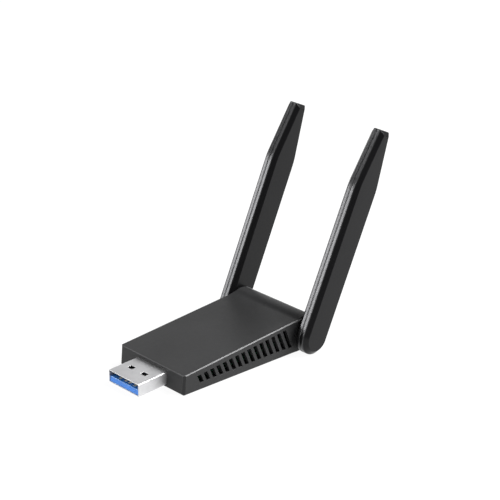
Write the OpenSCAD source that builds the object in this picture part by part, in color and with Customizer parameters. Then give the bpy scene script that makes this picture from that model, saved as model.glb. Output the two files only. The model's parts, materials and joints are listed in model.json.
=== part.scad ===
// USB Wi-Fi adapter with two folding blade antennas.
// The plug points along -X, +Y is the right-hand side seen from behind, +Z is up.
// The origin is the middle of the plug where it leaves the housing's front face.

/* [USB plug] */
// Width of the metal plug shell
plug_w = 12; // [11.9:0.05:12.1]
// Height of the metal plug shell
plug_h = 4.5; // [4.4:0.05:4.6]
// Length of the plug in front of the housing
plug_len = 12; // [11.8:0.1:13]
// Sheet thickness of the plug shell
plug_wall = 0.3; // [0.25:0.05:0.35]

/* [Housing] */
// Width of the housing between its slotted sides
body_w = 31.2; // [31:0.1:31.5]
// Height of the top edge above the plug's middle, at the front face
top_front = 3.75; // [3.6:0.05:4]
// Depth of the bottom edge below the plug's middle, at the front face
bottom_front = 3.25; // [3.2:0.05:3.5]
// Upward slope of the top face towards the hinge, in degrees
top_rise = 1.9; // [1.7:0.1:2.2]
// Downward slope of the bottom face towards the hinge, in degrees
bottom_fall = 3.6; // [3.4:0.1:3.8]
// Backward lean of the front face, in degrees
front_tilt = 5; // [0:0.5:5]
// Wall thickness of the housing
wall = 1.35; // [1.2:0.05:1.4]

/* [Vents] */
// Number of slots in each side
vent_count = 15; // [6:1:15]
// Distance from one slot to the next
vent_pitch = 2.9; // [2.6:0.05:2.9]
// Width of one slot along the housing
vent_w = 1.65; // [1.2:0.05:1.8]
// Lean of the slots, bottom end towards the hinge, in degrees
vent_lean = 22.5; // [0:0.5:25]

/* [Hinge] */
// Distance of the hinge axis behind the front face
hinge_x = 56.6; // [56.5:0.05:57]
// Height of the hinge axis
hinge_z = -0.75; // [-0.85:0.05:-0.65]
// Radius of the hinge barrel across the back of the housing
barrel_r = 6.95; // [6.85:0.05:7.05]
// Radius of each antenna's hollow pivot
pivot_r = 3.5; // [3.2:0.1:3.6]
// Radial running clearance of the pivot in its bearing
pivot_gap = 0.05; // [0.02:0.01:0.1]

/* [Antennas] */
// Width of an antenna blade
blade_w = 12.1; // [11.9:0.1:12.1]
// Thickness of an antenna blade
blade_t = 5.7; // [5.5:0.1:6]
// Length of a blade from the hinge axis to its tip
blade_len = 74.5; // [70:0.5:90]
// Distance from the hinge axis to where the blade starts to narrow
taper_start = 54.5; // [45:0.5:60]
// Width of the blade's tip
tip_w = 5.2; // [5:0.1:8]
// Width of the bevel round each broad face
bevel_w = 1.55; // [1.2:0.05:1.8]
// Depth of the bevel round each broad face
bevel_t = 1.45; // [1.2:0.05:1.5]
// Backward lean of the left blade from upright, in degrees
left_lean = 26; // [-90:1:90]
// Backward lean of the right blade from upright, in degrees
right_lean = 25; // [-90:1:90]

/* [Hidden] */
$fn = 96;

LEFT = -1;
RIGHT = 1;
slip = 0.1;                             // gap between housing pieces that are pushed together
eps = 0.5;                              // how far a cutter runs past the face that it cuts
deep = 12;                              // more than the housing's reach above or below the plug
body_half = body_w / 2;
cavity_half = body_half - wall;
cover_t = 1;                            // thickness of the bottom cover

barrel_half = 15.9;                     // half length of the barrel
barrel_edge = 0.5;                      // bevel on the barrel's end edges
barrel_wall = 1.4;                      // wall of the barrel around the two pivots
ramp_r = 6;                             // hollow blend from the top face up to the barrel
flare_r = 10;                           // hollow blend from each side out to the barrel's end
flare_x = 50.5;
opening_end = hinge_x + 1.2;            // rear end of the opening in the underside

vent_mid_x = 7.45;                      // middle of the first slot
vent_mid_z = 0.2;
vent_top = 1.8;                         // top and bottom of the first slot
vent_bottom = -1.1;
vent_top_rise = 0.047;                  // how fast the slots grow towards the hinge
vent_bottom_fall = 0.063;

board_x0 = 6.4;
board_x1 = 48.5;
board_half = 13.6;
board_top = -0.6;
board_t = 1;
post_x = [12, 44];                      // four posts clamp the board between the two housing parts
post_y = 11.2;
sleeve_r = 1.8;
shoulder_r = 2.3;
pin_r = 0.85;
socket_r = 0.9;
pin_top = 1.2;
socket_top = 1.5;

radio_x = 28;                           // middle of the radio chip and its screening can
chip = [9, 9, 0.9];
pad = [8, 8, 0.7];
can = [16, 18, 1.8];
can_wall = 0.2;

mouth_floor = -0.15;                    // top face of the plug's tongue
tongue_gap = 0.25;                      // how far the tongue stops behind the plug's front edge
block_x0 = -3;                          // front of the block that the tongue grows from
plug_back = 5.6;
spacer_back = 6.3;
contact_t = 0.2;
contact_x0 = -plug_len + tongue_gap + 1.1;
flat_w = 1;
flat_y = [-3.5, -1, 1, 3.5];
spring_w = 0.6;
spring_y = [-4, -2, 0, 2, 4];

blade_y = 16.1;                         // inner face of each blade
seam_y = blade_y + blade_t / 2;         // where its two shells meet
shell_wall = 1;
rim = 1.5;                              // width of the rim where two antenna shells meet
taper_angle = atan((blade_w - tip_w) / 2 / (blade_len - taper_start));
pivot_bore = 2;
pivot_end = 12.1;
collar_r = 4.6;
collar_t = 0.15;
washer_t = 0.4;
washer_y = cavity_half - 0.05 - washer_t;
clip_t = 0.6;
clip_y = washer_y - clip_t;
clip_r = 4.6;
groove_r = 3;

element_y = 18.6;                       // inner face of the antenna's circuit strip
element_t = 0.8;
element_w = 7;
element_z0 = 9;
element_z1 = 58;
foil_t = 0.1;

coax_r = 0.56;
coax_sides = 8;
// Right-hand route from the board to the hollow pivot, along the hinge axis at its end
board_route = [
    [39, 8.2, 0], [42.5, 8.2, 0], [46, 8.2, 0], [49.5, 8.2, 0], [51.6, 8.3, -0.3], [53.4, 8.6, -0.6],
    [54.8, 9.2, hinge_z], [55.8, 10.1, hinge_z], [56.4, 11.3, hinge_z], [hinge_x, 12.8, hinge_z],
    [hinge_x, 15, hinge_z]
];
// Right-hand route inside an upright blade, from the hinge axis to the circuit strip
blade_route = [
    [0, 15.05, 0], [0, 15.7, 0], [0, 16.6, 0.2], [0, 17.4, 0.8], [0, 17.85, 1.7],
    [0, 18, 3], [0, 18, 6], [0, 18, 9], [0, 18, 12], [0, 18, 15]
];

function top_z(x) = top_front + x * tan(top_rise);
function bottom_z(x) = -bottom_front - x * tan(bottom_fall);
function front_x(z) = z * tan(front_tilt);
function unit(v) = v / norm(v);

// Directions and rings of a tube that follows a route
function heading(route, i) = unit(route[min(i + 1, len(route) - 1)] - route[max(i - 1, 0)]);
function ring(centre, dir, side, r, n) = [
    for (k = [0 : n - 1])
        centre + r * (cos(360 * k / n) * unit(cross(side, dir)) + sin(360 * k / n) * side)
];
module tube(route, side, r, n) {
    last = len(route) - 1;
    points = [for (i = [0 : last]) each ring(route[i], heading(route, i), side, r, n)];
    walls = [
        for (i = [0 : last - 1], k = [0 : n - 1])
            [(i + 1) * n + k, (i + 1) * n + (k + 1) % n, i * n + (k + 1) % n, i * n + k]
    ];
    start = [for (k = [0 : n - 1]) k];
    end = [for (k = [n - 1 : -1 : 0]) last * n + k];
    polyhedron(points, concat([start], walls, [end]));
}

// A shape drawn in X and Z, extruded the same distance each way along Y
module across(half) {
    rotate([90, 0, 0]) linear_extrude(2 * half, center = true) children();
}
// A round bar along Y from y0 to y1
module bar(r, y0, y1) {
    translate([0, y1, 0]) rotate([90, 0, 0]) cylinder(r = r, h = y1 - y0);
}
module at_hinge() {
    translate([hinge_x, 0, hinge_z]) children();
}
// Right-hand pieces as drawn, left-hand pieces mirrored across the middle
module on_side(side) {
    mirror([0, side == LEFT ? 1 : 0, 0]) children();
}
module both_sides() {
    for (side = [LEFT, RIGHT]) on_side(side) children();
}
module posts() {
    for (x = post_x, y = [-post_y, post_y]) translate([x, y, 0]) children();
}
module box(x0, x1, half, z0, z1) {
    translate([x0, -half, z0]) cube([x1 - x0, 2 * half, z1 - z0]);
}

// Housing: everything above the flat underside, below the top face, with the round barrel
module wedge_outline() {
    polygon([
        [front_x(top_front), top_z(front_x(top_front))],
        [front_x(-bottom_front), bottom_z(front_x(-bottom_front))],
        [hinge_x, bottom_z(hinge_x)],
        [hinge_x, top_z(hinge_x)]
    ]);
}
// Hollow blend between the top face and the barrel
module ramp_outline() {
    below = (top_z(hinge_x) - hinge_z) * cos(top_rise);
    along = sqrt(pow(barrel_r + ramp_r, 2) - pow(below + ramp_r, 2));
    lean_up = atan2(below + ramp_r, along);
    translate([hinge_x, hinge_z]) rotate(top_rise) difference() {
        polygon([
            [-along, below - 1],
            [-along, below],
            [-along, below + ramp_r],
            [-barrel_r * cos(lean_up), barrel_r * sin(lean_up)],
            [0, 0]
        ]);
        translate([-along, below + ramp_r]) circle(ramp_r);
    }
}
// Everything below the flat underside
module below_underside() {
    far = 2 * hinge_x;
    polygon([[-far, bottom_z(-far)], [far, bottom_z(far)], [far, -far], [-far, -far]]);
}
// Everything below the middle of the top wall
module below_ceiling() {
    polygon([
        [0, top_z(0) - wall / 2],
        [hinge_x, top_z(hinge_x) - wall / 2],
        [hinge_x, -deep],
        [0, -deep]
    ]);
}
module side_outline() {
    difference() {
        union() {
            wedge_outline();
            ramp_outline();
            translate([hinge_x, hinge_z]) circle(barrel_r);
        }
        below_underside();
    }
}
// Seen from above: straight sides, with a hollow flare out to the barrel's ends
module plan_outline() {
    back = hinge_x + barrel_r + 1;
    translate([-1, -body_half]) square([back + 1, body_w]);
    difference() {
        translate([flare_x, -barrel_half]) square([back - flare_x, 2 * barrel_half]);
        for (side = [LEFT, RIGHT])
            translate([flare_x, side * (body_half + flare_r)]) circle(flare_r);
    }
}
// Rounds the two upright edges of the front face
module front_corner_cut() {
    corner_r = 0.8;
    rotate([0, front_tilt, 0]) translate([-eps, body_half - corner_r, -deep])
        linear_extrude(2 * deep) difference() {
            square([corner_r + eps, corner_r + eps]);
            translate([corner_r + eps, 0]) circle(corner_r);
        }
}
// Bevels the rim of the barrel's end face
module barrel_end_cut() {
    outer = barrel_r + 2;
    at_hinge() translate([0, barrel_half, 0]) rotate([90, 0, 0]) rotate_extrude()
        polygon([
            [barrel_r - barrel_edge, -0.1],
            [barrel_r - barrel_edge, 0],
            [barrel_r, barrel_edge],
            [outer, barrel_edge],
            [outer, -0.1]
        ]);
}
module housing_block() {
    difference() {
        intersection() {
            across(barrel_half) side_outline();
            translate([0, 0, -deep]) linear_extrude(2 * deep) plan_outline();
        }
        both_sides() {
            front_corner_cut();
            barrel_end_cut();
        }
    }
}
// Hollow of the housing, open at the underside for the bottom cover
module cavity() {
    across(cavity_half) polygon([
        [wall + front_x(top_front), top_z(wall) - wall],
        [wall + front_x(-deep), -deep],
        [opening_end, -deep],
        [opening_end, top_z(opening_end) - wall]
    ]);
    at_hinge() bar(barrel_r - barrel_wall, -cavity_half, cavity_half);
}
module vent_outline(i) {
    mid = vent_mid_x + i * vent_pitch;
    upper = vent_top + i * vent_pitch * vent_top_rise;
    lower = vent_bottom - i * vent_pitch * vent_bottom_fall;
    shift = tan(vent_lean);
    polygon([
        [mid - vent_w / 2 + (vent_mid_z - upper) * shift, upper],
        [mid + vent_w / 2 + (vent_mid_z - upper) * shift, upper],
        [mid + vent_w / 2 + (vent_mid_z - lower) * shift, lower],
        [mid - vent_w / 2 + (vent_mid_z - lower) * shift, lower]
    ]);
}

module top_shell() {
    color([0.13, 0.13, 0.14]) difference() {
        union() {
            difference() {
                housing_block();
                cavity();
            }
            intersection() {
                posts() translate([0, 0, board_top + slip / 2]) cylinder(r = sleeve_r, h = deep);
                across(body_half) below_ceiling();
            }
        }
        posts() translate([0, 0, board_top]) cylinder(r = socket_r, h = socket_top - board_top);
        both_sides() translate([0, cavity_half + wall / 2, 0])
            for (i = [0 : vent_count - 1]) across(wall / 2 + slip) vent_outline(i);
        box(-wall, 2 * wall, plug_w / 2 + slip, -plug_h / 2 - slip, plug_h / 2 + slip);
        both_sides() at_hinge() bar(pivot_r + pivot_gap, cavity_half - eps, barrel_half + eps);
    }
}
// Plate with four posts that carry the board, and pins that go up into the top shell
module bottom_cover() {
    x0 = wall + front_x(-bottom_front) + 2 * slip;
    x1 = opening_end - slip;
    board_bottom = board_top - board_t;
    color([0.12, 0.12, 0.13]) difference() {
        union() {
            across(cavity_half - slip) polygon([
                [x0, bottom_z(x0)], [x1, bottom_z(x1)],
                [x1, bottom_z(x1) + cover_t], [x0, bottom_z(x0) + cover_t]
            ]);
            posts() {
                translate([0, 0, -deep]) cylinder(r = shoulder_r, h = deep + board_bottom);
                translate([0, 0, -deep]) cylinder(r = pin_r, h = deep + pin_top);
            }
        }
        across(body_w) below_underside();
    }
}

// Plug
module plug_outline(inset) {
    r = 0.7 - inset;
    w = plug_w / 2 - inset - r;
    h = plug_h / 2 - inset - r;
    for (y = [-w, w], z = [-h, h]) translate([y, z]) circle(r);
    square([2 * w, plug_h - 2 * inset], center = true);
    square([plug_w - 2 * inset, 2 * h], center = true);
}
// A plug cross-section carried along X from x0 to x1
module plug_bar(x0, x1, inset) {
    translate([x0, 0, 0]) rotate([90, 0, 90]) linear_extrude(x1 - x0) plug_outline(inset);
}
module usb_shell() {
    window = [1.8, 2.2];
    window_x = 6.2 - plug_len;
    window_y = 3.15;
    tab_w = 1.3;
    color([0.82, 0.83, 0.85]) {
        difference() {
            plug_bar(-plug_len, plug_back, 0);
            plug_bar(-plug_len - 1, plug_back + 1, plug_wall);
            for (y = [-window_y, window_y])
                translate([window_x, y, 0]) cube([window[0], window[1], plug_h + 1], center = true);
        }
        // Side tabs that hold the plug behind the housing's front wall
        for (side = [LEFT, RIGHT])
            translate([wall + 0.5, side * (plug_w + tab_w) / 2, 0])
                cube([plug_wall, tab_w + 0.01, 2.4], center = true);
    }
}
module flat_contact(y) {
    // Lies on the tongue, then dives into it and comes out behind as a solder tail
    dive = -6.8;
    tail = 9.2;
    under = mouth_floor - 0.6;
    translate([0, y, 0]) across(flat_w / 2) polygon([
        [contact_x0, mouth_floor],
        [contact_x0, mouth_floor - contact_t],
        [dive, mouth_floor - contact_t],
        [dive, under - contact_t],
        [spacer_back - 1.4, under - contact_t],
        [spacer_back - 1.4, mouth_floor - contact_t],
        [spacer_back + 0.4, mouth_floor - contact_t],
        [spacer_back + 0.6, board_top],
        [tail, board_top],
        [tail, board_top + contact_t],
        [spacer_back + 0.8, board_top + contact_t],
        [spacer_back + 0.6, mouth_floor],
        [spacer_back - 1.6, mouth_floor],
        [spacer_back - 1.6, under],
        [dive + contact_t, under],
        [dive + contact_t, mouth_floor]
    ]);
}
module spring_contact(y) {
    // Springs up in the mouth, runs through the block and turns down to the board
    level = 0.55;
    tail = 12.2;
    foot = 10.6;
    translate([0, y, 0]) across(spring_w / 2) polygon([
        [-5.6, mouth_floor + 0.05],
        [-5.6, mouth_floor + 0.25],
        [-4.9, level + 0.35],
        [-4.5, level + 0.35],
        [-3.6, level],
        [foot - 0.3, level],
        [foot, board_top + contact_t],
        [tail, board_top + contact_t],
        [tail, board_top],
        [foot - 0.2, board_top],
        [foot - 0.5, level - contact_t],
        [-3.7, level - contact_t],
        [-4.6, level + 0.1],
        [-4.9, level + 0.1],
        [-5.4, mouth_floor + 0.05]
    ]);
}
module usb_contacts() {
    color([0.9, 0.75, 0.4]) for (y = flat_y) flat_contact(y);
}
module usb3_contacts() {
    color([0.9, 0.75, 0.4]) for (y = spring_y) spring_contact(y);
}
module usb_insulator() {
    color([0.16, 0.4, 0.8]) difference() {
        union() {
            plug_bar(block_x0, plug_back, plug_wall);
            intersection() {
                plug_bar(-plug_len + tongue_gap, block_x0 + 1, plug_wall);
                box(-plug_len, block_x0 + 1, plug_w, -plug_h, mouth_floor);
            }
        }
        for (y = flat_y) flat_contact(y);
        for (y = spring_y) spring_contact(y);
    }
}
module usb_spacer() {
    color([0.1, 0.1, 0.11]) difference() {
        box(plug_back, spacer_back, 5.4, mouth_floor - 0.4, 1.6);
        for (y = flat_y) flat_contact(y);
        for (y = spring_y) spring_contact(y);
    }
}

// Board and what is soldered on it
module main_board() {
    color([0.05, 0.35, 0.2]) difference() {
        box(board_x0, board_x1, board_half, board_top - board_t, board_top);
        posts() cylinder(r = pin_r + slip, h = 2 * deep, center = true);
    }
}
module on_board(x, y) {
    translate([x, y, board_top]) children();
}
module block(size) {
    translate([0, 0, size[2] / 2]) cube(size, center = true);
}
module shield_can() {
    color([0.75, 0.76, 0.78]) on_board(radio_x, 0) difference() {
        block(can);
        translate([0, 0, -eps])
            block([can[0] - 2 * can_wall, can[1] - 2 * can_wall, can[2] - can_wall + eps]);
    }
}
module wifi_chip() {
    color([0.08, 0.08, 0.08]) on_board(radio_x, 0) block(chip);
}
module thermal_pad() {
    color([0.6, 0.62, 0.66])
        on_board(radio_x, 0) translate([0, 0, chip[2]]) block(pad);
}
module regulator_chip() {
    color([0.08, 0.08, 0.08]) on_board(15.5, 4.5) block([3, 3, 0.8]);
}
module power_inductor() {
    color([0.25, 0.25, 0.27]) on_board(16, -4.5) difference() {
        block([4, 4, 1.9]);
        translate([0, 0, 1.7]) cylinder(r = 1.5, h = 1);
    }
}
module crystal() {
    color([0.8, 0.8, 0.78]) on_board(40.5, 0) block([2.5, 3.2, 0.8]);
}
module capacitors() {
    color([0.62, 0.5, 0.36]) {
        for (y = [-2.2, 0, 2.2]) on_board(12.9, y) block([0.8, 1.6, 0.8]);
        for (y = [-6, -4, 4, 6]) on_board(38.2, y) block([1, 0.5, 0.5]);
        for (x = [20, 32]) on_board(x, 11) block([1.6, 0.8, 0.8]);
    }
}
module status_led() {
    color([0.75, 0.85, 0.95]) on_board(34, -12) block([1.6, 0.8, 0.6]);
}
module board_coax(side) {
    color([0.15, 0.15, 0.16]) on_side(side) tube(board_route, [0, 0, 1], coax_r, coax_sides);
}

// Antennas, drawn upright on the right-hand side with the hinge axis at the origin
module placed_antenna(side) {
    on_side(side) at_hinge() rotate([0, side == LEFT ? left_lean : right_lean, 0]) children();
}
module blade_outline(inset) {
    half = blade_w / 2 - inset;
    tip = tip_w / 2 - inset * tan(45 - taper_angle / 2);
    shoulder = taper_start - inset * tan(taper_angle / 2);
    circle(half, $fn = 48);
    polygon([
        [-half, 0], [-half, shoulder], [-tip, blade_len - inset],
        [tip, blade_len - inset], [half, shoulder], [half, 0]
    ]);
}
// A slice of the blade between two planes along Y
module blade_slice(y0, y1, inset) {
    translate([0, y1, 0]) rotate([90, 0, 0]) linear_extrude(y1 - y0) blade_outline(inset);
}
// Half a blade, from its middle plane out to the broad face at y_face
module half_blade(y_mid, y_face) {
    step = y_face > y_mid ? 1 : -1;
    edge = y_face - step * bevel_t;
    hull() {
        blade_slice(min(y_mid, edge), max(y_mid, edge), 0);
        blade_slice(min(y_face, y_face - step * 0.01), max(y_face, y_face - step * 0.01), bevel_w);
    }
}
module outer_shell(side) {
    color([0.11, 0.11, 0.12]) placed_antenna(side) difference() {
        half_blade(seam_y, blade_y + blade_t);
        blade_slice(seam_y - eps, blade_y + blade_t - shell_wall, rim);
    }
}
module inner_shell(side) {
    color([0.11, 0.11, 0.12]) placed_antenna(side) difference() {
        union() {
            difference() {
                half_blade(seam_y, blade_y);
                blade_slice(blade_y + shell_wall, seam_y + eps, rim);
            }
            bar(collar_r, blade_y - collar_t, blade_y + shell_wall / 2);
            bar(pivot_r, pivot_end, blade_y + shell_wall / 2);
        }
        bar(pivot_bore, pivot_end - eps, blade_y + shell_wall + eps);
        difference() {
            bar(pivot_r + eps, clip_y, clip_y + clip_t);
            bar(groove_r, clip_y - eps, clip_y + clip_t + eps);
        }
    }
}
module element_board(side) {
    color([0.1, 0.4, 0.25]) placed_antenna(side)
        translate([-element_w / 2, element_y, element_z0])
            cube([element_w, element_t, element_z1 - element_z0]);
}
// Copper dipole on the outer face of the circuit strip
module element_foil(side) {
    lower = 22;
    upper = 26;
    edge = 0.6;
    color([0.85, 0.5, 0.3]) placed_antenna(side)
        for (arm = [[element_z0 + 1, lower], [upper, element_z1 - 1]])
            translate([-element_w / 2 + edge, element_y + element_t, arm[0]])
                cube([element_w - 2 * edge, foil_t, arm[1] - arm[0]]);
}
module blade_coax(side) {
    color([0.15, 0.15, 0.16]) placed_antenna(side) tube(blade_route, [1, 0, 0], coax_r, coax_sides);
}
module washer(side) {
    color([0.8, 0.8, 0.8]) placed_antenna(side) difference() {
        bar(collar_r, washer_y, washer_y + washer_t);
        bar(pivot_r + 0.02, washer_y - eps, washer_y + washer_t + eps);
    }
}
// Retaining clip, open on one side so that it pushes into the groove
module clip(side) {
    mouth = 4.6;
    color([0.35, 0.36, 0.38]) placed_antenna(side) difference() {
        bar(clip_r, clip_y, clip_y + clip_t);
        bar(groove_r + 0.01, clip_y - eps, clip_y + clip_t + eps);
        translate([-mouth / 2, clip_y - eps, -clip_r - 1]) cube([mouth, clip_t + 2 * eps, clip_r + 1]);
    }
}

top_shell();
bottom_cover();
usb_shell();
usb_insulator();
usb_spacer();
usb_contacts();
usb3_contacts();
main_board();
shield_can();
wifi_chip();
thermal_pad();
regulator_chip();
power_inductor();
crystal();
capacitors();
status_led();
board_coax(LEFT);  // left_board_coax
board_coax(RIGHT);  // right_board_coax
outer_shell(LEFT);  // left_outer_shell
inner_shell(LEFT);  // left_inner_shell
element_board(LEFT);  // left_element_board
element_foil(LEFT);  // left_element_foil
blade_coax(LEFT);  // left_coax
washer(LEFT);  // left_washer
clip(LEFT);  // left_clip
outer_shell(RIGHT);  // right_outer_shell
inner_shell(RIGHT);  // right_inner_shell
element_board(RIGHT);  // right_element_board
element_foil(RIGHT);  // right_element_foil
blade_coax(RIGHT);  // right_coax
washer(RIGHT);  // right_washer
clip(RIGHT);  // right_clip
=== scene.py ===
"""USB Wi-Fi adapter with two folding blade antennas: the looks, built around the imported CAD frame."""

import json
import math

import bmesh
import bpy
from mathutils import Matrix, Vector


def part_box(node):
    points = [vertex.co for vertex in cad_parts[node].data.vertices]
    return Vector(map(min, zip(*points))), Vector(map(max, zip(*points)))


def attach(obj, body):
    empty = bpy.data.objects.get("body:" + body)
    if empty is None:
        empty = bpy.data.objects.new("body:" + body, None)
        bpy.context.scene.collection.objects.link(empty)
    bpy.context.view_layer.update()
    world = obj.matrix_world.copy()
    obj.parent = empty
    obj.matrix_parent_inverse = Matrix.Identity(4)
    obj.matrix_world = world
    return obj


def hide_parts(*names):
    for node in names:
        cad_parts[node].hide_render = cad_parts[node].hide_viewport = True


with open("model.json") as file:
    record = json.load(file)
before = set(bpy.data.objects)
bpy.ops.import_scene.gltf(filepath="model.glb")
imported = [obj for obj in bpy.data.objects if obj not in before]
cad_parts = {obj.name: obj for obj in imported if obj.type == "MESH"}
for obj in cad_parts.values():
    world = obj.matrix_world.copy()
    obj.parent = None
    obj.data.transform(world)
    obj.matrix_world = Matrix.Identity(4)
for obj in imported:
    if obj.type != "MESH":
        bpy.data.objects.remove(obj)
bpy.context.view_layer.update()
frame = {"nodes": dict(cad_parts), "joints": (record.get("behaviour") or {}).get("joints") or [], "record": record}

# ---------------------------------------------------------------- sizes, in millimetres and degrees
MM = 0.001
SIDES = {"left": -1, "right": 1}


def box_mm(node):
    """Lowest and highest corner of a CAD node, in millimetres."""
    low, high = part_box(node)
    return low / MM, high / MM


def joint(name):
    return next(j for j in frame["joints"] if j["name"] == name)


plug_low, plug_high = box_mm("usb_shell")
cover_low, cover_high = box_mm("bottom_cover")
_, shell_high = box_mm("top_shell")
blade_low, blade_high = box_mm("right_outer_shell")
inner_low, inner_high = box_mm("right_inner_shell")
hinge_x, _, hinge_z = [v / MM for v in joint("right_hinge")["pos_m"]]

# Housing
barrel_half = shell_high.y
body_half = barrel_half - 0.3
barrel_r = shell_high.x - hinge_x
barrel_edge = 0.5
barrel_wall = 1.4
top_front = 3.75
bottom_front = 3.25
top_rise = math.radians(1.9)
bottom_fall = math.radians(3.6)
front_tilt = math.radians(5)
wall = 1.35
cavity_half = body_half - wall
opening_end = hinge_x + 1.2
ramp_r = 6
flare_r = 10
flare_x = 50.5
edge_r = 0.3
upright_edge_r = 0.8
top_corner_r = 0.35
bottom_corner_r = 0.6
post_x = (12, 44)
post_y = 11.2
sleeve_r = 1.8
shoulder_r = 2.3
pin_r = 0.85
socket_r = 0.9
socket_depth = 2.1
board_low, board_high = box_mm("main_board")

# Slots in each side
vent_count = 15
vent_pitch = 2.9
vent_w = 1.65
vent_lean = math.radians(22.5)
vent_mid_x = 7.45
vent_mid_z = 0.2
vent_top = 1.8
vent_bottom = -1.1
vent_top_rise = 0.047
vent_bottom_fall = 0.063
vent_lip = 0.13

# Antennas
blade_t = blade_high.y - inner_high.y + blade_high.y - blade_low.y
seam_y = blade_low.y
face_y = blade_high.y
inner_y = 2 * seam_y - face_y
blade_half = 6.05
blade_len = 74.5
taper_start = 54.5
tip_half = 2.6
bevel_w = 1.55
bevel_t = 1.45
shoulder_r_blade = 22
tip_corner_r = 0.45
rim_w = 1.5
shell_wall = 1
pivot_r = 3.5
pivot_slack = 0.05
pivot_bore = 2
pivot_end = inner_low.y
collar_r = 4.6
groove = (13.2, 13.8, 3.0)

# Plug
sheet = 0.3
plug_corner = 0.35
plug_slack = 0.08
front_lip = 0.1
window_back = 6.2
window_y = 3.15
window_l = 1.8
window_w = 2.2
window_corner = 0.12
seam_l = 7
seam_w = 0.1
mouth_floor = -0.15
tongue_gap = 0.25
tongue_bevel = 0.55
block_x0 = -3
block_x1 = 5.6
block_slack = 0.02
contact_t = 0.2
contact_slack = 0.02
flat_contact_w = 1
flat_contact_y = (-3.5, -1, 1, 3.5)
spring_contact_w = 0.6
spring_contact_y = (-4, -2, 0, 2, 4)
spring_contact_top = 0.55


# ---------------------------------------------------------------- small geometry
def polar(radius, degrees):
    return Vector((math.cos(math.radians(degrees)), math.sin(math.radians(degrees)))) * radius


def arc(centre, radius, start, end, steps):
    """steps + 1 points of a circle, from one angle to another in degrees."""
    return [centre + polar(radius, start + (end - start) * i / steps) for i in range(steps + 1)]


def corner_shift(back, ahead, d_back, d_ahead):
    """The step from a corner to the crossing of its two edges moved along their normals."""
    det = back.x * ahead.y - back.y * ahead.x
    return Vector((d_back * ahead.y - d_ahead * back.y, d_ahead * back.x - d_back * ahead.x)) / det


def fillet(before, corner, after, radius, steps):
    """Points that round the corner of a bent line."""
    a, b = (before - corner).normalized(), (after - corner).normalized()
    half = a.angle(b) / 2
    centre = corner + (a + b).normalized() * (radius / math.sin(half))
    first = corner + a * (radius / math.tan(half)) - centre
    last = corner + b * (radius / math.tan(half)) - centre
    turn = math.atan2(first.x * last.y - first.y * last.x, first.dot(last))
    return [centre + Matrix.Rotation(turn * i / steps, 2) @ first for i in range(steps + 1)]


def rounded(corners, radii, steps=6):
    """A closed outline with each corner rounded by its own radius."""
    points = []
    for i, corner in enumerate(corners):
        if radii[i] > 0:
            points += fillet(corners[i - 1], corner, corners[(i + 1) % len(corners)], radii[i], steps)
        else:
            points.append(corner)
    return points


def grown(outline, distance):
    """A closed outline, anticlockwise, moved outwards by a distance."""
    made = []
    for i, p in enumerate(outline):
        a = (p - outline[i - 1]).normalized()
        b = (outline[(i + 1) % len(outline)] - p).normalized()
        out_a, out_b = Vector((a.y, -a.x)), Vector((b.y, -b.x))
        straight = abs(a.cross(b)) < 1e-6
        made.append(p + (out_a * distance if straight else corner_shift(out_a, out_b, distance, distance)))
    return made


def smooth_step(t):
    t = min(max(t, 0), 1)
    return t * t * (3 - 2 * t)


# ---------------------------------------------------------------- meshes
def new_object(name, verts, faces):
    """A closed mesh object from points in millimetres, with its faces turned outwards."""
    mesh = bpy.data.meshes.new(name)
    mesh.from_pydata([Vector(v) * MM for v in verts], [], faces)
    obj = bpy.data.objects.new(name, mesh)
    bpy.context.scene.collection.objects.link(obj)
    bm = bmesh.new()
    bm.from_mesh(mesh)
    bmesh.ops.remove_doubles(bm, verts=bm.verts, dist=2e-4 * MM)
    bmesh.ops.dissolve_degenerate(bm, edges=bm.edges, dist=2e-4 * MM)
    bmesh.ops.recalc_face_normals(bm, faces=bm.faces)
    bm.to_mesh(mesh)
    bm.free()
    return obj


def loft(rings):
    """Vertices and faces of a closed body through rings of equal length, with flat ends."""
    n = len(rings[0])
    verts = [p for ring in rings for p in ring]
    faces = [
        (i * n + k, i * n + (k + 1) % n, (i + 1) * n + (k + 1) % n, (i + 1) * n + k)
        for i in range(len(rings) - 1)
        for k in range(n)
    ]
    faces.append(tuple(range(n - 1, -1, -1)))
    faces.append(tuple(range((len(rings) - 1) * n, len(rings) * n)))
    return verts, faces


def joined(bodies):
    """Vertices and faces of several closed bodies as one."""
    verts, faces = [], []
    for body_verts, body_faces in bodies:
        start = len(verts)
        verts += body_verts
        faces += [tuple(start + k for k in face) for face in body_faces]
    return verts, faces


def across_y(outline, y):
    """An outline drawn in X and Z, placed at one Y."""
    return [Vector((p.x, y, p.y)) for p in outline]


def along_x(outline, x):
    """An outline drawn in Y and Z, placed at one X."""
    return [Vector((x, p.x, p.y)) for p in outline]


def prism_y(outline, y0, y1):
    return loft([across_y(outline, y0), across_y(outline, y1)])


def prism_x(outline, x0, x1):
    return loft([along_x(outline, x0), along_x(outline, x1)])


def circle(centre, radius, steps=48):
    return arc(Vector(centre), radius, 0, 360, steps)[:-1]


def rod_y(centre, radius, y0, y1, steps=64):
    return prism_y(circle(centre, radius, steps), y0, y1)


def rod_z(x, y, radius, z0, z1, steps=40):
    ring = circle((x, y), radius, steps)
    return loft([[Vector((p.x, p.y, z)) for p in ring] for z in (z0, z1)])


def rectangle(x0, x1, z0, z1):
    return [Vector((x0, z0)), Vector((x1, z0)), Vector((x1, z1)), Vector((x0, z1))]


def combine(obj, body, operation):
    """Cuts a closed body out of an object, or welds it on."""
    tool = new_object("tool", *body)
    step = obj.modifiers.new("combine", "BOOLEAN")
    step.operation = operation
    step.solver = "EXACT"
    step.object = tool
    bake_modifiers(obj)
    mesh = tool.data
    bpy.data.objects.remove(tool)
    bpy.data.meshes.remove(mesh)


def cut(obj, body):
    combine(obj, body, "DIFFERENCE")


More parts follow.
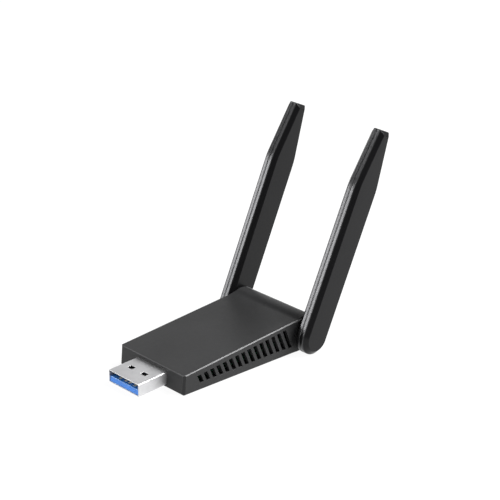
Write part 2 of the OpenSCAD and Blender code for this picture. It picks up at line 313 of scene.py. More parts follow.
def weld(obj, body):
    combine(obj, body, "UNION")


def bake_modifiers(obj):
    """Replaces an object's mesh by what its modifiers make of it."""
    bpy.context.view_layer.update()
    made = bpy.data.meshes.new_from_object(obj.evaluated_get(bpy.context.evaluated_depsgraph_get()))
    obj.modifiers.clear()
    old = obj.data
    obj.data = made
    bpy.data.meshes.remove(old)


def finish_surface(obj, angle=35):
    """Smooth shading with crisp edges above an angle, and flat faces that stay flat."""
    bm = bmesh.new()
    bm.from_mesh(obj.data)
    bmesh.ops.remove_doubles(bm, verts=bm.verts, dist=1e-3 * MM)
    bmesh.ops.dissolve_degenerate(bm, edges=bm.edges, dist=5e-4 * MM)
    bmesh.ops.triangulate(bm, faces=[f for f in bm.faces if len(f.verts) > 4])
    bm.to_mesh(obj.data)
    bm.free()
    obj.data.shade_smooth()
    obj.data.set_sharp_from_angle(angle=math.radians(angle))
    step = obj.modifiers.new("flat_faces", "WEIGHTED_NORMAL")
    step.keep_sharp = True
    step.weight = 100
    bake_modifiers(obj)


def place(obj, body, slot, material, *nodes):
    """The object rides on a body, takes a material and stands for CAD nodes."""
    finish_surface(obj)
    obj.data.materials.clear()
    obj.data.materials.append(material)
    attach(obj, body)
    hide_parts(*nodes)


# ---------------------------------------------------------------- materials
class Nodes:
    """A material's node tree, with short ways to add and link nodes."""

    def __init__(self, name):
        self.material = bpy.data.materials.new(name)
        self.material.use_nodes = True
        self.tree = self.material.node_tree
        self.shader = self.tree.nodes["Principled BSDF"]
        coordinates = self.add("ShaderNodeTexCoord")
        self.place = coordinates.outputs["Object"]
        self.normal = coordinates.outputs["Normal"]

    def add(self, kind, **inputs):
        node = self.tree.nodes.new(kind)
        for name, value in inputs.items():
            node.inputs[name.replace("_", " ")].default_value = value
        return node

    def link(self, source, target):
        self.tree.links.new(source, target)

    def noise(self, scale, detail=3, roughness=0.5, stretch=None):
        """Noise with features of 1/scale metres, stretched along an axis where asked."""
        node = self.add("ShaderNodeTexNoise", Scale=scale, Detail=detail, Roughness=roughness)
        source = self.place
        if stretch:
            mapping = self.add("ShaderNodeMapping")
            mapping.inputs["Scale"].default_value = stretch
            self.link(source, mapping.inputs["Vector"])
            source = mapping.outputs["Vector"]
        self.link(source, node.inputs["Vector"])
        return node.outputs["Fac"]

    def between(self, factor, low, high, from_low=0.3, from_high=0.7):
        """A factor turned into a range of values."""
        node = self.add(
            "ShaderNodeMapRange", From_Min=from_low, From_Max=from_high, To_Min=low, To_Max=high
        )
        self.link(factor, node.inputs["Value"])
        return node.outputs["Result"]

    def mix(self, factor, first, second):
        """Two colours or colour sources, mixed by a factor."""
        node = self.tree.nodes.new("ShaderNodeMix")
        node.data_type = "RGBA"
        self.link(factor, node.inputs[0])
        for source, socket in ((first, node.inputs[6]), (second, node.inputs[7])):
            if isinstance(source, tuple):
                socket.default_value = (*source, 1)
            else:
                self.link(source, socket)
        return node.outputs[2]

    def edges(self, radius):
        """1 on edges that are tighter than a radius in metres, 0 on flat faces."""
        bevel = self.add("ShaderNodeBevel", Radius=radius)
        bevel.samples = 6
        normal = self.add("ShaderNodeNewGeometry").outputs["Normal"]
        return self.between(self.dot(bevel.outputs["Normal"], normal), 1, 0, 0.90, 0.995)

    def fill(self, node, *values):
        """Gives each input of a node its value, or links the output that it gets."""
        for value, socket in zip(values, node.inputs):
            if isinstance(value, bpy.types.NodeSocket):
                self.link(value, socket)
            else:
                socket.default_value = value

    def dot(self, first, second):
        node = self.tree.nodes.new("ShaderNodeVectorMath")
        node.operation = "DOT_PRODUCT"
        self.fill(node, first, second)
        return node.outputs["Value"]

    def math(self, operation, *values):
        node = self.tree.nodes.new("ShaderNodeMath")
        node.operation = operation
        self.fill(node, *values)
        return node.outputs[0]

    def times(self, first, *others):
        """The product of several factors."""
        for other in others:
            first = self.math("MULTIPLY", first, other)
        return first

    def along(self, axis):
        """The place along one of the object's axes, in metres."""
        split = self.tree.nodes.new("ShaderNodeSeparateXYZ")
        self.link(self.place, split.inputs[0])
        return split.outputs[axis]

    def bump(self, height, strength, distance):
        node = self.add("ShaderNodeBump", Strength=strength, Distance=distance)
        self.link(height, node.inputs["Height"])
        self.link(node.outputs["Normal"], self.shader.inputs["Normal"])


def shade(colour, factor):
    return tuple(c * factor for c in colour)


def top_bevel_highlight_mask(n, up, level):
    """1 on the upward-facing bevels round the housing's top face, less on the one at the front: where a highlight
    is painted in a pale grey.

    Up is that face's direction, and level its height that way in millimetres.
    """
    height, facing = n.dot(n.place, up), n.dot(n.normal, up)
    return n.times(
        n.between(height, 0, 1, (level - 0.45) * MM, (level - 0.4) * MM),
        n.between(height, 1, 0, (level + 0.01) * MM, (level + 0.04) * MM),
        n.between(facing, 0, 1, 0.2, 0.4),
        n.between(facing, 1, 0, 0.92, 0.98),
        n.between(n.along("X"), 0.4, 1, 0.7 * MM, 1.2 * MM),
        n.between(n.noise(300, 3), 0.7, 1),
    )


def rim_mask(n, middle, half):
    """1 on the band either side of the seam between two antenna shells."""
    off = n.math("ABSOLUTE", n.math("SUBTRACT", n.math("ABSOLUTE", n.along("Y")), middle * MM))
    return n.between(off, 1, 0, half * 0.9 * MM, half * 1.1 * MM)


def inner_shade_mask(n, x, y, z):
    """1 behind the plug's mouth and within its half width and half height: where shade is painted inside the
    sheet.
    """
    return n.times(
        n.between(n.along("X"), 0, 1, x * MM, (x + 0.3) * MM),
        n.between(n.math("ABSOLUTE", n.along("Y")), 1, 0, (y - 0.02) * MM, y * MM),
        n.between(n.math("ABSOLUTE", n.along("Z")), 1, 0, (z - 0.02) * MM, z * MM),
    )


def moulded_plastic(
    name, colour, edge_wear_highlight_colour, roughness=(0.34, 0.40), grain=0.35, specular=0.45, rim=None, painted_highlight_bevels=None
):
    """Matte moulded plastic: grain, colour drift and rubbed edges whose pale colour is wear and partly a painted
    highlight; a glossy rim or a painted highlight on the top bevels.
    """
    n = Nodes(name)
    body = n.mix(n.between(n.noise(60, 4), 0, 1), colour, shade(colour, 1.22))
    body = n.mix(n.between(n.noise(2600, 2), 0, 0.35, 0.62, 0.72), body, shade(colour, 1.8))
    # Rubbed edges: wear, lightened enough to also paint a highlight along the edges.
    edge_wear_highlight_mask = n.times(n.edges(0.00022), n.between(n.noise(220, 4), 0.25, 1, 0.35, 0.65))
    surface = n.mix(edge_wear_highlight_mask, body, edge_wear_highlight_colour)
    # Painted highlight: a pale grey along the bevels round the top face.
    if painted_highlight_bevels:
        surface = n.mix(top_bevel_highlight_mask(n, *painted_highlight_bevels), surface, PAINTED_HIGHLIGHT_GREY)
    if rim:
        band = rim_mask(n, *rim)
        surface = n.mix(band, surface, RIM_GREY)
        n.link(band, n.shader.inputs["Metallic"])
    n.link(surface, n.shader.inputs["Base Color"])
    n.link(n.between(n.noise(900, 3), *roughness), n.shader.inputs["Roughness"])
    n.shader.inputs["Specular IOR Level"].default_value = specular
    n.bump(n.noise(5200, 3, 0.6), grain, 0.00002)
    return n.material


def rolled_metal(name, colour, roughness=(0.16, 0.3), stretch=(1, 14, 14), inside=None, metallic=1.0):
    """Plated or rolled sheet: fine lines, faint stains and, where asked, painted shade inside the plug's mouth."""
    n = Nodes(name)
    lines = n.noise(300, 5, 0.65, stretch)
    body = n.mix(n.between(n.noise(160, 4), 0, 1, 0.35, 0.75), colour, shade(colour, 0.86))
    # Painted shade: the sheet is much darker inside the plug's mouth.
    if inside:
        body = n.mix(inner_shade_mask(n, *inside), body, shade(colour, 0.12))
    n.link(body, n.shader.inputs["Base Color"])
    n.link(n.between(lines, *roughness), n.shader.inputs["Roughness"])
    n.shader.inputs["Metallic"].default_value = metallic
    n.bump(lines, 0.12, 0.00001)
    return n.material


def glossy_plastic(name, colour, edge_wear_highlight_colour, roughness=(0.18, 0.3), deep=None):
    """Smooth moulded plastic: flow marks, pale edges that are a painted highlight and, where asked, painted shade
    deeper in.
    """
    n = Nodes(name)
    flow = n.between(n.noise(140, 3, 0.5, (0.4, 1, 1)), 0, 1)
    body = n.mix(flow, colour, shade(colour, 0.8))
    # Pale edges: a painted highlight.
    body = n.mix(n.edges(0.0003), body, edge_wear_highlight_colour)
    # Painted shade: the colour darkens deeper into the plug, between two places along X.
    if deep:
        start, end = (v * MM for v in deep)
        body = n.mix(n.between(n.along("X"), 0, 1, start, end), body, shade(colour, 0.04))
    n.link(body, n.shader.inputs["Base Color"])
    n.link(n.between(n.noise(700, 3), *roughness), n.shader.inputs["Roughness"])
    n.bump(n.noise(1500, 2), 0.15, 0.00001)
    return n.material


def circuit_board(name, mask, track):
    """Solder mask over faint copper tracks."""
    n = Nodes(name)
    weave = n.tree.nodes.new("ShaderNodeTexVoronoi")
    weave.distance = "MANHATTAN"
    weave.feature = "DISTANCE_TO_EDGE"
    weave.inputs["Scale"].default_value = 700
    n.link(n.place, weave.inputs["Vector"])
    lines = n.between(weave.outputs["Distance"], 1, 0, 0.04, 0.09)
    n.link(n.mix(lines, mask, track), n.shader.inputs["Base Color"])
    n.link(n.between(n.noise(1200, 3), 0.25, 0.4), n.shader.inputs["Roughness"])
    n.bump(lines, 0.3, 0.00002)
    return n.material


# Pale grey of the painted highlight on the housing's top bevels.
PAINTED_HIGHLIGHT_GREY = (0.2, 0.2, 0.203)
RIM_GREY = (0.075, 0.075, 0.077)

# Each slot's maker with its colour, its second colour and its own values
SURFACES = {
    # Its edge colour is wear and partly a painted highlight.
    "black_plastic": (moulded_plastic, (0.0235, 0.0236, 0.0242), (0.1, 0.1, 0.102), {
        "roughness": (0.39, 0.44), "specular": 0.2,
        # Painted highlight along the top face's bevels: that face's direction and its height.
        "painted_highlight_bevels": ((-math.sin(top_rise), 0, math.cos(top_rise)), top_front * math.cos(top_rise)),
    }),
    "antenna_plastic": (moulded_plastic, (0.005, 0.005, 0.0055), (0.015, 0.015, 0.016), {
        "roughness": (0.28, 0.3), "grain": 0.08, "specular": 0.2,
        "rim": (seam_y, blade_t / 2 - bevel_t + 0.06),
    }),
    "dark_plastic": (moulded_plastic, (0.012, 0.012, 0.013), (0.03, 0.03, 0.03), {}),
    "chip_black": (moulded_plastic, (0.012, 0.012, 0.012), (0.03, 0.03, 0.03), {"roughness": (0.4, 0.55)}),
    "ferrite_grey": (moulded_plastic, (0.07, 0.07, 0.075), (0.12, 0.12, 0.12), {"roughness": (0.5, 0.7)}),
    "ceramic_tan": (moulded_plastic, (0.36, 0.24, 0.13), (0.5, 0.42, 0.33), {"roughness": (0.35, 0.5)}),
    "pad_grey": (moulded_plastic, (0.32, 0.34, 0.38), (0.4, 0.42, 0.46), {"roughness": (0.6, 0.75)}),
    "coax_jacket": (moulded_plastic, (0.02, 0.02, 0.022), (0.05, 0.05, 0.05), {
        "roughness": (0.35, 0.5), "grain": 0.25,
    }),
    # Its last entry paints shade inside the plug's mouth.
    "plug_metal": (rolled_metal, (0.735, 0.735, 0.745), {
        "roughness": (0.46, 0.58), "inside": (plug_low.x + 0.3, plug_high.y - 0.4, plug_high.z - 0.04),
    }),
    "can_metal": (rolled_metal, (0.60, 0.61, 0.63), {"roughness": (0.25, 0.4)}),
    "spring_steel": (rolled_metal, (0.50, 0.51, 0.53), {"roughness": (0.2, 0.35), "stretch": (4, 1, 4)}),
    "contact_gold": (rolled_metal, (0.98, 0.94, 0.82), {"roughness": (0.3, 0.45), "metallic": 0.5}),
    "copper": (rolled_metal, (0.78, 0.42, 0.26), {"roughness": (0.25, 0.4)}),
    # Its pale edge colour is a painted highlight, and its last entry paints shade deeper into the plug.
    "blue_plastic": (glossy_plastic, (0.05, 0.25, 0.82), (0.34, 0.68, 1.0), {
        "deep": (plug_low.x + 1.2, plug_low.x + 3),
    }),
    "led_lens": (glossy_plastic, (0.65, 0.78, 0.86), (0.8, 0.88, 0.92), {"roughness": (0.08, 0.15)}),
    "circuit_board": (circuit_board, (0.006, 0.03, 0.016), (0.015, 0.07, 0.035), {}),
}
MATERIALS = {
    name: maker(name, *colours, **values) for name, (maker, *colours, values) in SURFACES.items()
}


def dress_cad_nodes():
    """Gives each carried-over CAD node the detailed material of its slot."""
    for row in frame["record"]["subparts"]:
        mesh = frame["nodes"][row["node"]].data
        mesh.materials.clear()
        mesh.materials.append(MATERIALS[row["material_slot"]])


# ---------------------------------------------------------------- housing
def top_z(x):
    return top_front + x * math.tan(top_rise)


def bottom_z(x):
    return -bottom_front - x * math.tan(bottom_fall)


def front_x(z):
    return z * math.tan(front_tilt)


def half_width(x):
    """Half the housing's width: straight, then a hollow flare out to the barrel's ends."""
    run = min(max(x - flare_x, 0), flare_r * 0.5)
    return min(body_half + flare_r - math.sqrt(flare_r ** 2 - run ** 2), barrel_half)


def rim_radius(x):
    """Radius of the edges along the sides: it grows towards the barrel's ends."""
    return edge_r + (barrel_edge - edge_r) * smooth_step((x - flare_x) / 3)


def housing_chains():
    """The side view's upper and lower outlines, each a list of (point, inset point, rounding radius)."""
    hinge = Vector((hinge_x, hinge_z))
    in_front = Vector((math.cos(front_tilt), -math.sin(front_tilt)))
    in_top = Vector((math.sin(top_rise), -math.cos(top_rise)))
    in_bottom = Vector((math.sin(bottom_fall), math.cos(bottom_fall)))
    top_corner = Vector((front_x(top_front), top_z(front_x(top_front))))
    bottom_corner = Vector((front_x(-bottom_front), bottom_z(front_x(-bottom_front))))
    middle = (top_corner + bottom_corner) / 2
    start = (middle, middle + in_front * upright_edge_r, upright_edge_r)

    def corner(at, ahead, inward, radius, steps=6):
        inset = at + corner_shift(in_front, inward, upright_edge_r, edge_r)
        points = fillet(middle, at, ahead, radius, steps)
        return [
            (p, inset, upright_edge_r + (edge_r - upright_edge_r) * i / steps)
            for i, p in enumerate(points)
        ]

    # The hollow ramp from the top face up to the barrel
    below = (top_z(hinge_x) - hinge_z) * math.cos(top_rise)
    along = math.sqrt((barrel_r + ramp_r) ** 2 - (below + ramp_r) ** 2)
    turn = Matrix.Rotation(top_rise, 2)
    ramp_centre = hinge + turn @ Vector((-along, below + ramp_r))
    lean_up = math.degrees(math.atan2(below + ramp_r, along)) - math.degrees(top_rise)
    ramp = arc(ramp_centre, ramp_r, math.degrees(top_rise) - 90, -lean_up, 8)
    ramp_start = ramp[0].x

    # Where along the housing both outlines have points
    straight = [1.6, 4] + [6 * k for k in range(1, 9)] + [flare_x]
    flare = [flare_x + (ramp_start - flare_x) * k / 7 for k in range(1, 8)]

    top_end, bottom_end = Vector((hinge_x, top_z(hinge_x))), Vector((hinge_x, bottom_z(hinge_x)))
    upper = [start] + corner(top_corner, top_end, in_top, top_corner_r)
    lower = [start] + corner(bottom_corner, bottom_end, in_bottom, bottom_corner_r)
    for x in straight + flare:
        p = Vector((x, top_z(x)))
        upper.append((p, p + in_top * rim_radius(x), rim_radius(x)))
    for x in straight + flare + [p.x for p in ramp[1:]]:
        p = Vector((x, bottom_z(x)))
        lower.append((p, p + in_bottom * rim_radius(x), rim_radius(x)))
    for p in ramp[1:]:
        r = rim_radius(p.x)
        upper.append((p, p + (p - ramp_centre).normalized() * r, r))

    # Over the barrel above, and along the flat underside to the barrel below
    steps = 32
    for p in arc(hinge, barrel_r, 180 - lean_up, 0, steps)[1:]:
        upper.append((p, p + (hinge - p).normalized() * barrel_edge, barrel_edge))
    depth = (hinge_z - bottom_z(hinge_x)) * math.cos(bottom_fall)
    meet = -90 - math.degrees(bottom_fall) + math.degrees(math.acos(depth / barrel_r))
    corner_at = hinge + polar(barrel_r, meet)
    bend = fillet(
        Vector((flare_x, bottom_z(flare_x))), corner_at, corner_at + polar(1, meet + 90), barrel_edge, 4
    )
    flat = 8
    first_x = ramp[-1].x
    for k in range(1, flat + 1):
        x = first_x + (bend[0].x - first_x) * k / flat
        p = Vector((x, bottom_z(x)))
        lower.append((p, p + in_bottom * barrel_edge, barrel_edge))
    inset = corner_at + corner_shift(in_bottom, -polar(1, meet), barrel_edge, barrel_edge)
    lower += [(p, inset, barrel_edge) for p in bend[1:]]
    rest = steps - flat - (len(bend) - 1)
    first = math.degrees(math.atan2(bend[-1].y - hinge_z, bend[-1].x - hinge_x))
    for p in arc(hinge, barrel_r, first, 0, rest)[1:]:
        lower.append((p, p + (hinge - p).normalized() * barrel_edge, barrel_edge))
    return upper, lower


def edge_curve(angle):
    """An edge between a round and a flat 45 degree bevel: shares of its radius, inwards and outwards."""
    flat = 0.75
    share = angle / (math.pi / 2)
    return (
        flat * share + (1 - flat) * (1 - math.cos(angle)),
        flat * share + (1 - flat) * math.sin(angle),
    )


def housing_block():
    """The housing's outside as one closed body, every edge rounded."""
    upper, lower = housing_chains()
    count = len(upper)
    loop = upper + lower[-2:0:-1]
    rounds = 6
    angles = [math.pi / 2 * k / rounds for k in range(rounds + 1)]
    verts = []
    for point, inset, radius in loop:
        for side in (-1, 1):
            for angle in angles if side > 0 else reversed(angles):
                inwards, outwards = edge_curve(angle)
                p = point + (inset - point) * inwards
                y = half_width(p.x) - radius * (1 - outwards)
                verts.append(Vector((p.x, side * y, p.y)))
    n = 2 * len(angles)
    total = len(loop)
    faces = [
        (i * n + k, i * n + k + 1, (i + 1) % total * n + k + 1, (i + 1) % total * n + k)
        for i in range(total)
        for k in range(n - 1)
    ]
    for k in (0, n - 1):
        for i in range(count - 1):
            above, below = (i, i + 1), ((total - i) % total, total - i - 1)
            ring = [above[0], above[1], below[1], below[0]]
            unique = list(dict.fromkeys(ring))
            faces.append(tuple(j * n + k for j in unique))
    return verts, faces


def vent_outline(i):
    middle = vent_mid_x + i * vent_pitch
    upper = vent_top + i * vent_pitch * vent_top_rise
    lower = vent_bottom - i * vent_pitch * vent_bottom_fall
    shift = math.tan(vent_lean)
    return [
        Vector((middle + side * vent_w / 2 + (vent_mid_z - z) * shift, z))
        for side, z in ((-1, lower), (1, lower), (1, upper), (-1, upper))
    ]


def vent_cutters():
    """One leaning slot cutter per slot, opened out where it meets the side face."""
    steps = (
        (-wall - 0.3, 0), (-vent_lip, 0), (-vent_lip * 0.3, vent_lip * 0.3), (0, vent_lip),
        (0.2, vent_lip + 0.5),
    )
    bodies = []
    for side in (-1, 1):
        for i in range(vent_count):
            outline = vent_outline(i)
            bodies.append(loft([across_y(grown(outline, g), side * (body_half + d)) for d, g in steps]))
    return joined(bodies)


def make_top_shell():
    shell = new_object("housing_shell", *housing_block())
    below = -12
    cut(shell, prism_y([
        Vector((wall + front_x(below), below)),
        Vector((opening_end, below)),
        Vector((opening_end, top_z(opening_end) - wall)),
        Vector((wall + front_x(top_front), top_z(wall) - wall)),
    ], -cavity_half, cavity_half))
    cut(shell, rod_y((hinge_x, hinge_z), barrel_r - barrel_wall, -cavity_half + 0.01, cavity_half - 0.01))
    cut(shell, vent_cutters())
    half_w, half_h = plug_high.y + plug_slack, plug_high.z + plug_slack
    opening = rounded(rectangle(-half_w, half_w, -half_h, half_h), [plug_corner + plug_slack] * 4)
    cut(shell, prism_x(opening, -1, 2 * wall))
    for side in (-1, 1):
        inner, outer = side * (cavity_half - 0.5), side * (barrel_half + 0.5)
        cut(shell, rod_y((hinge_x, hinge_z), pivot_r + pivot_slack, inner, outer))
    sleeves = [
        rod_z(x, side * post_y, sleeve_r, board_high.z + 0.05, top_z(x) - wall / 2)
        for x in post_x for side in (-1, 1)
    ]
    weld(shell, joined(sleeves))
    sockets = [
        rod_z(x, side * post_y, socket_r, board_high.z - 0.5, board_high.z + socket_depth)
        for x in post_x for side in (-1, 1)
    ]
    cut(shell, joined(sockets))
    place(shell, "housing", "black_plastic", MATERIALS["black_plastic"], "top_shell")


def make_bottom_cover():
    """A plate set into the underside, with rounded edges, posts and pins."""
    x0, x1, half = cover_low.x, cover_high.x, cover_high.y
    outline = rounded(rectangle(x0, x1, -half, half), [0.5] * 4)

    def ring(inset, height):
        middle = (x0 + x1) / 2
        scale_x, scale_y = 1 - inset / (x1 - middle), 1 - inset / half
        flat = [(middle + (p.x - middle) * scale_x, p.y * scale_y) for p in outline]
        return [Vector((x, y, bottom_z(x) + height)) for x, y in flat]

    thick = 1
    edge = 0.2
    levels = [(edge, 0), (edge * 0.3, edge * 0.3), (0, edge), (0, thick)]
    cover = new_object("cover_plate", *loft([ring(inset, height) for inset, height in levels]))
    weld(cover, joined([
        rod_z(x, side * post_y, shoulder_r, bottom_z(x) + thick / 2, board_low.z)
        for x in post_x for side in (-1, 1)
    ]))
    weld(cover, joined([
        rod_z(x, side * post_y, pin_r, board_low.z - 0.5, cover_high.z)
        for x in post_x for side in (-1, 1)
    ]))
    place(cover, "housing", "black_plastic", MATERIALS["black_plastic"], "bottom_cover")


# ---------------------------------------------------------------- plug
def plug_outline(inset):
    half_w, half_h = plug_high.y - inset, plug_high.z - inset
    return rounded(rectangle(-half_w, half_w, -half_h, half_h), [max(plug_corner - inset, 0.12)] * 4, 8)


def make_usb_shell():
    """Folded tinned sheet with a rolled front lip, four windows and a seam underneath."""
    tip, back, lip = plug_low.x, plug_high.x, front_lip
    roll = [(tip + lip * (1 - math.sin(a)), lip * (1 - math.cos(a))) for a in (0, 0.52, 1.05, 1.571)]
    path = [(back, sheet), (back, 0), *roll]
    path += [(tip, sheet - lip * 0.7), (tip + lip * 0.3, sheet - lip * 0.2), (tip + lip, sheet)]
    rings = [along_x(plug_outline(inset), x) for x, inset in path]
    n = len(rings[0])
    verts = [p for ring in rings for p in ring]
    faces = []
    for i in range(len(rings)):
        this, following = i * n, (i + 1) % len(rings) * n
        for k in range(n):
            after = (k + 1) % n
            faces.append((this + k, this + after, following + after, following + k))
    shell = new_object("plug_shell", verts, faces)

    x0, x1 = tip + window_back - window_l / 2, tip + window_back + window_l / 2
    depths = ((-0.6, 0), (-0.03, 0), (0, 0.03), (0.2, 0.23))
    for z in (-1, 1):
        bodies = []
        for side in (-1, 1):
            y0, y1 = side * window_y - window_w / 2, side * window_y + window_w / 2
            ring = rounded(rectangle(x0, x1, y0, y1), [window_corner] * 4, 4)
            bodies.append(loft([
                [Vector((p.x, p.y, z * (plug_high.z + h))) for p in grown(ring, g)] for h, g in depths
            ]))
        cut(shell, joined(bodies))
    seam = rectangle(tip - 1, tip + seam_l, -seam_w / 2, seam_w / 2)
    cut(shell, loft([[Vector((p.x, p.y, plug_low.z + h)) for p in seam] for h in (-0.2, 0.6)]))
    place(shell, "housing", "plug_metal", MATERIALS["plug_metal"], "usb_shell")


def make_insulator():
    """The blue block that fills the plug's back and grows a tongue along its floor."""
    inset = sheet + block_slack
    half_w, half_h = plug_high.y - inset, plug_high.z - inset
    corner = plug_corner - inset

    def section(top, shrink, round_top):
        """The outline up to a height, smaller all round by a shrink, with rounded upper corners."""
        corners = rectangle(-half_w + shrink, half_w - shrink, -half_h + shrink, top - shrink)
        return rounded(corners, [corner, corner, round_top, round_top], 6)

    front = plug_low.x + tongue_gap
    rings = [
        along_x(section(mouth_floor - tongue_bevel, 0.1, 0.1), front),
        along_x(section(mouth_floor - tongue_bevel + 0.1, 0, 0.1), front + 0.08),
        along_x(section(mouth_floor - 0.04, 0, 0.1), front + 0.26),
        along_x(section(mouth_floor, 0, 0.1), front + 0.32),
        along_x(section(mouth_floor, 0, 0.1), block_x0),
        along_x(section(half_h, 0, corner), block_x0),
        along_x(section(half_h, 0, corner), block_x1),
    ]
    tongue = new_object("plug_tongue", *loft(rings))
    contact_x0 = box_mm("usb_contacts")[0].x

    def channels(start, top, half, places):
        side = rectangle(start, block_x1 + 0.4, top - contact_t - contact_slack, top + contact_slack)
        reach = half + contact_slack
        return [prism_y(side, y - reach, y + reach) for y in places]

    cut(tongue, joined(
        channels(contact_x0 - contact_slack, mouth_floor, flat_contact_w / 2, flat_contact_y)
        + channels(block_x0 - 1, spring_contact_top, spring_contact_w / 2, spring_contact_y)
    ))
    place(tongue, "housing", "blue_plastic", MATERIALS["blue_plastic"], "usb_insulator")


# ---------------------------------------------------------------- antennas
def blade_outline(inset):
    """An upright blade seen from the side: round foot, straight edges, soft shoulder, flat tip."""
    half = blade_half - inset
    taper = math.atan((blade_half - tip_half) / (blade_len - taper_start))
    tip = tip_half - inset * math.tan((math.pi / 2 - taper) / 2)
    shoulder = taper_start - inset * math.tan(taper / 2)
    end = blade_len - inset
    foot = arc(Vector((0, 0)), half, 180, 360, 40)
    right = fillet(foot[-1], Vector((half, shoulder)), Vector((tip, end)), shoulder_r_blade, 8)
    corner_r = max(tip_corner_r - inset, 0.06)
    tip_right = fillet(right[-1], Vector((tip, end)), Vector((-tip, end)), corner_r, 6)
    climb_shares = (0.01, 0.12, 0.25, 0.37, 0.5, 0.62, 0.75, 0.88, 0.99)
    taper_shares = (0.02, 0.25, 0.5, 0.75, 0.97)
    climb = [Vector((half, right[0].y * k)) for k in climb_shares]
    taper_run = [right[-1].lerp(tip_right[0], k) for k in taper_shares]
    flank = climb + right + taper_run + tip_right
    return foot + flank + [Vector((-p.x, p.y)) for p in reversed(flank)]


def blade_rings(side, lean, levels):
    """Rings of a blade at (distance from the seam plane, inset), leaning back about the hinge."""
    spin = Matrix.Rotation(lean, 3, "Y")
    hinge = Vector((hinge_x, 0, hinge_z))
    rings = []
    for y, inset in levels:
        outline = blade_outline(inset)
        rings.append([hinge + spin @ Vector((p.x, side * y, p.y)) for p in outline])
    return rings


def shell_levels(outward):
    """From the pocket's floor round the rim, up the flank, over the bevel to the broad face."""
    groove_w, groove_d = 0.06, 0.14
    edge = blade_t / 2 - bevel_t
    soft = 0.14
    unit_w, unit_t = bevel_w / math.hypot(bevel_w, bevel_t), bevel_t / math.hypot(bevel_w, bevel_t)
    path = [
        (blade_t / 2 - shell_wall, rim_w),
        (0, rim_w),
        (0, groove_d),
        (groove_w, groove_d),
        (groove_w + 0.05, groove_d * 0.35),
        (groove_w + 0.16, 0.03),
        (groove_w + 0.3, 0),
        (edge - soft * 2, 0),
        (edge - soft * 0.9, 0.02),
        (edge, 0.07),
        (edge + soft * unit_t, 0.07 + soft * unit_w * 0.9),
        (blade_t / 2 - soft * unit_t, bevel_w - soft * unit_w),
        (blade_t / 2 - 0.04, bevel_w),
        (blade_t / 2, bevel_w + soft),
    ]
    return [(seam_y + outward * t, inset) for t, inset in path]


def make_antenna(name, side):
    lean = math.pi / 2 - math.radians(joint(f"{name}_hinge")["range_deg"][1])
    body = f"{name}_antenna"
    outer = new_object(f"{name}_blade_outer", *loft(blade_rings(side, lean, shell_levels(1))))
    place(outer, body, "antenna_plastic", MATERIALS["antenna_plastic"], f"{name}_outer_shell")

    inner = new_object(f"{name}_blade_inner", *loft(blade_rings(side, lean, shell_levels(-1))))
    neck, shoulder, waist = groove
    at = (hinge_x, hinge_z)
    profile = [
        (pivot_end, pivot_r - 0.25), (pivot_end + 0.25, pivot_r), (neck, pivot_r), (neck, waist),
        (shoulder, waist), (shoulder, pivot_r), (inner_y - 0.15, pivot_r),
        (inner_y - 0.15, collar_r - 0.05), (inner_y - 0.1, collar_r), (inner_y + 0.5, collar_r),
    ]
    rings = [across_y(circle(at, radius, 64), side * y) for y, radius in profile]
    weld(inner, loft(rings))
    cut(inner, rod_y(at, pivot_bore, side * (pivot_end - 1), side * (inner_y + shell_wall + 0.5)))
    place(inner, body, "antenna_plastic", MATERIALS["antenna_plastic"], f"{name}_inner_shell")


# ---------------------------------------------------------------- stage, light and camera
FLOOR_GLOW = 0.94
MIDDLE = (0.04, 0, 0.02)


def floor_height(x):
    """The flat underside carried on past the object, a hair below it."""
    return bottom_z(x) - 0.03


def make_stage():
    """A wide floor that glows just enough to be as white as the photo's background."""
    reach = 6000
    corners = rectangle(-reach, reach, -reach, reach)
    mesh = bpy.data.meshes.new("floor")
    mesh.from_pydata([Vector((p.x, p.y, floor_height(p.x))) * MM for p in corners], [], [(0, 1, 2, 3)])
    floor = bpy.data.objects.new("floor", mesh)
    bpy.context.scene.collection.objects.link(floor)
    material = bpy.data.materials.new("floor")
    material.use_nodes = True
    shader = material.node_tree.nodes["Principled BSDF"]
    shader.inputs["Base Color"].default_value = (0.1, 0.1, 0.1, 1)
    shader.inputs["Roughness"].default_value = 1.0
    shader.inputs["Specular IOR Level"].default_value = 0.0
    shader.inputs["Emission Color"].default_value = (1, 1, 1, 1)
    shader.inputs["Emission Strength"].default_value = FLOOR_GLOW
    mesh.materials.append(material)


def softbox(name, towards, distance, width, height, radiance):
    """A soft rectangular light in a direction from the object's middle, facing it."""
    light = bpy.data.lights.new(name, "AREA")
    light.shape = "RECTANGLE"
    light.size, light.size_y = width, height
    light.energy = radiance * width * height * math.pi
    obj = bpy.data.objects.new(name, light)
    bpy.context.scene.collection.objects.link(obj)
    direction = Vector(towards).normalized()
    obj.location = Vector(MIDDLE) + direction * distance
    obj.rotation_mode = "QUATERNION"
    obj.rotation_quaternion = direction.to_track_quat("Z", "Y")
    obj.visible_camera = False


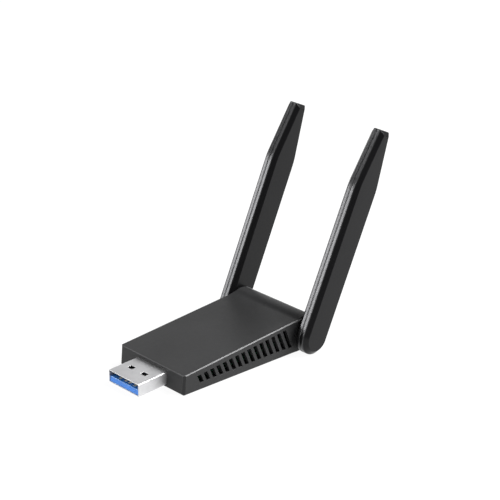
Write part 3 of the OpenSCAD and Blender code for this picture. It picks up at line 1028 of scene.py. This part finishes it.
def make_world():
    """A dim room with a large pale card low behind the object and a smaller one in front of the plug."""
    world = bpy.data.worlds.new("studio")
    bpy.context.scene.world = world
    world.use_nodes = True
    tree = world.node_tree
    background = tree.nodes["Background"]
    direction = tree.nodes.new("ShaderNodeTexCoord").outputs["Generated"]
    split = tree.nodes.new("ShaderNodeSeparateXYZ")
    tree.links.new(direction, split.inputs[0])
    height = split.outputs["Z"]

    def fade(source, start, end, first, last):
        node = tree.nodes.new("ShaderNodeMapRange")
        node.interpolation_type = "SMOOTHSTEP"
        for name, value in (("From Min", start), ("From Max", end), ("To Min", first), ("To Max", last)):
            node.inputs[name].default_value = value
        tree.links.new(source, node.inputs["Value"])
        return node.outputs["Result"]

    def combined(operation, first, second):
        node = tree.nodes.new("ShaderNodeMath")
        node.operation = operation
        tree.links.new(first, node.inputs[0])
        tree.links.new(second, node.inputs[1])
        return node.outputs[0]

    def card(middle, reach, soft, radiance):
        """A pale card round a direction, with its reach and the width of its soft border in degrees."""
        dot = tree.nodes.new("ShaderNodeVectorMath")
        dot.operation = "DOT_PRODUCT"
        dot.inputs[1].default_value = Vector(middle).normalized()
        tree.links.new(direction, dot.inputs[0])
        inner, outer = (math.cos(math.radians(a)) for a in (reach, reach + soft))
        return fade(dot.outputs["Value"], outer, inner, 0, radiance)

    behind = combined(
        "MULTIPLY",
        card((0.65, 0.64, 0.38), reach=20, soft=18, radiance=1.15),
        combined("MULTIPLY", fade(height, 0.02, 0.3, 0.1, 1.0), fade(height, 0.42, 0.56, 1.0, 0.04)),
    )
    mouth = card((-0.88, 0.05, 0.47), reach=11, soft=9, radiance=3.6)
    level = combined("ADD", combined("ADD", behind, mouth), fade(height, 0, 1, 0.07, 0.04))
    tree.links.new(level, background.inputs["Strength"])
    background.inputs["Color"].default_value = (1, 1, 1, 1)


def make_camera():
    """The viewpoint, given by the direction to the camera, its roll and the point it looks at."""
    azimuth, elevation, roll = math.radians(-45.39), math.radians(24.09), math.radians(0.54)
    distance, target = 0.531, Vector((0.0454, 0, 0.02917))
    level = math.cos(elevation)
    back = Vector((math.sin(azimuth) * level, -math.cos(azimuth) * level, math.sin(elevation)))
    right = Vector((0, 0, 1)).cross(back).normalized()
    up = back.cross(right)
    up = up * math.cos(roll) - right * math.sin(roll)
    right = up.cross(back)
    data = bpy.data.cameras.new("camera")
    data.sensor_width = 36
    data.lens = 112.95
    data.clip_start, data.clip_end = 0.01, 50
    camera = bpy.data.objects.new("camera", data)
    bpy.context.scene.collection.objects.link(camera)
    turn = Matrix((right, up, back)).transposed().to_4x4()
    camera.matrix_world = Matrix.Translation(target + back * distance) @ turn
    bpy.context.scene.camera = camera


make_camera()
make_stage()
make_world()
softbox("key", (0.64, -0.37, 0.68), distance=0.9, width=0.55, height=0.55, radiance=16.5)
softbox("right_fill", (0.3, -0.9, 0.32), distance=0.9, width=0.5, height=0.35, radiance=5)
softbox("left_low", (-0.73, 0.64, 0.29), distance=0.8, width=0.28, height=0.2, radiance=10)
softbox("left_high", (-0.34, 0.6, 0.72), distance=0.8, width=0.2, height=0.2, radiance=7)
bpy.context.scene.view_settings.view_transform = "Standard"

dress_cad_nodes()
make_top_shell()
make_bottom_cover()
make_usb_shell()
make_insulator()
for antenna, direction in SIDES.items():
    make_antenna(antenna, direction)
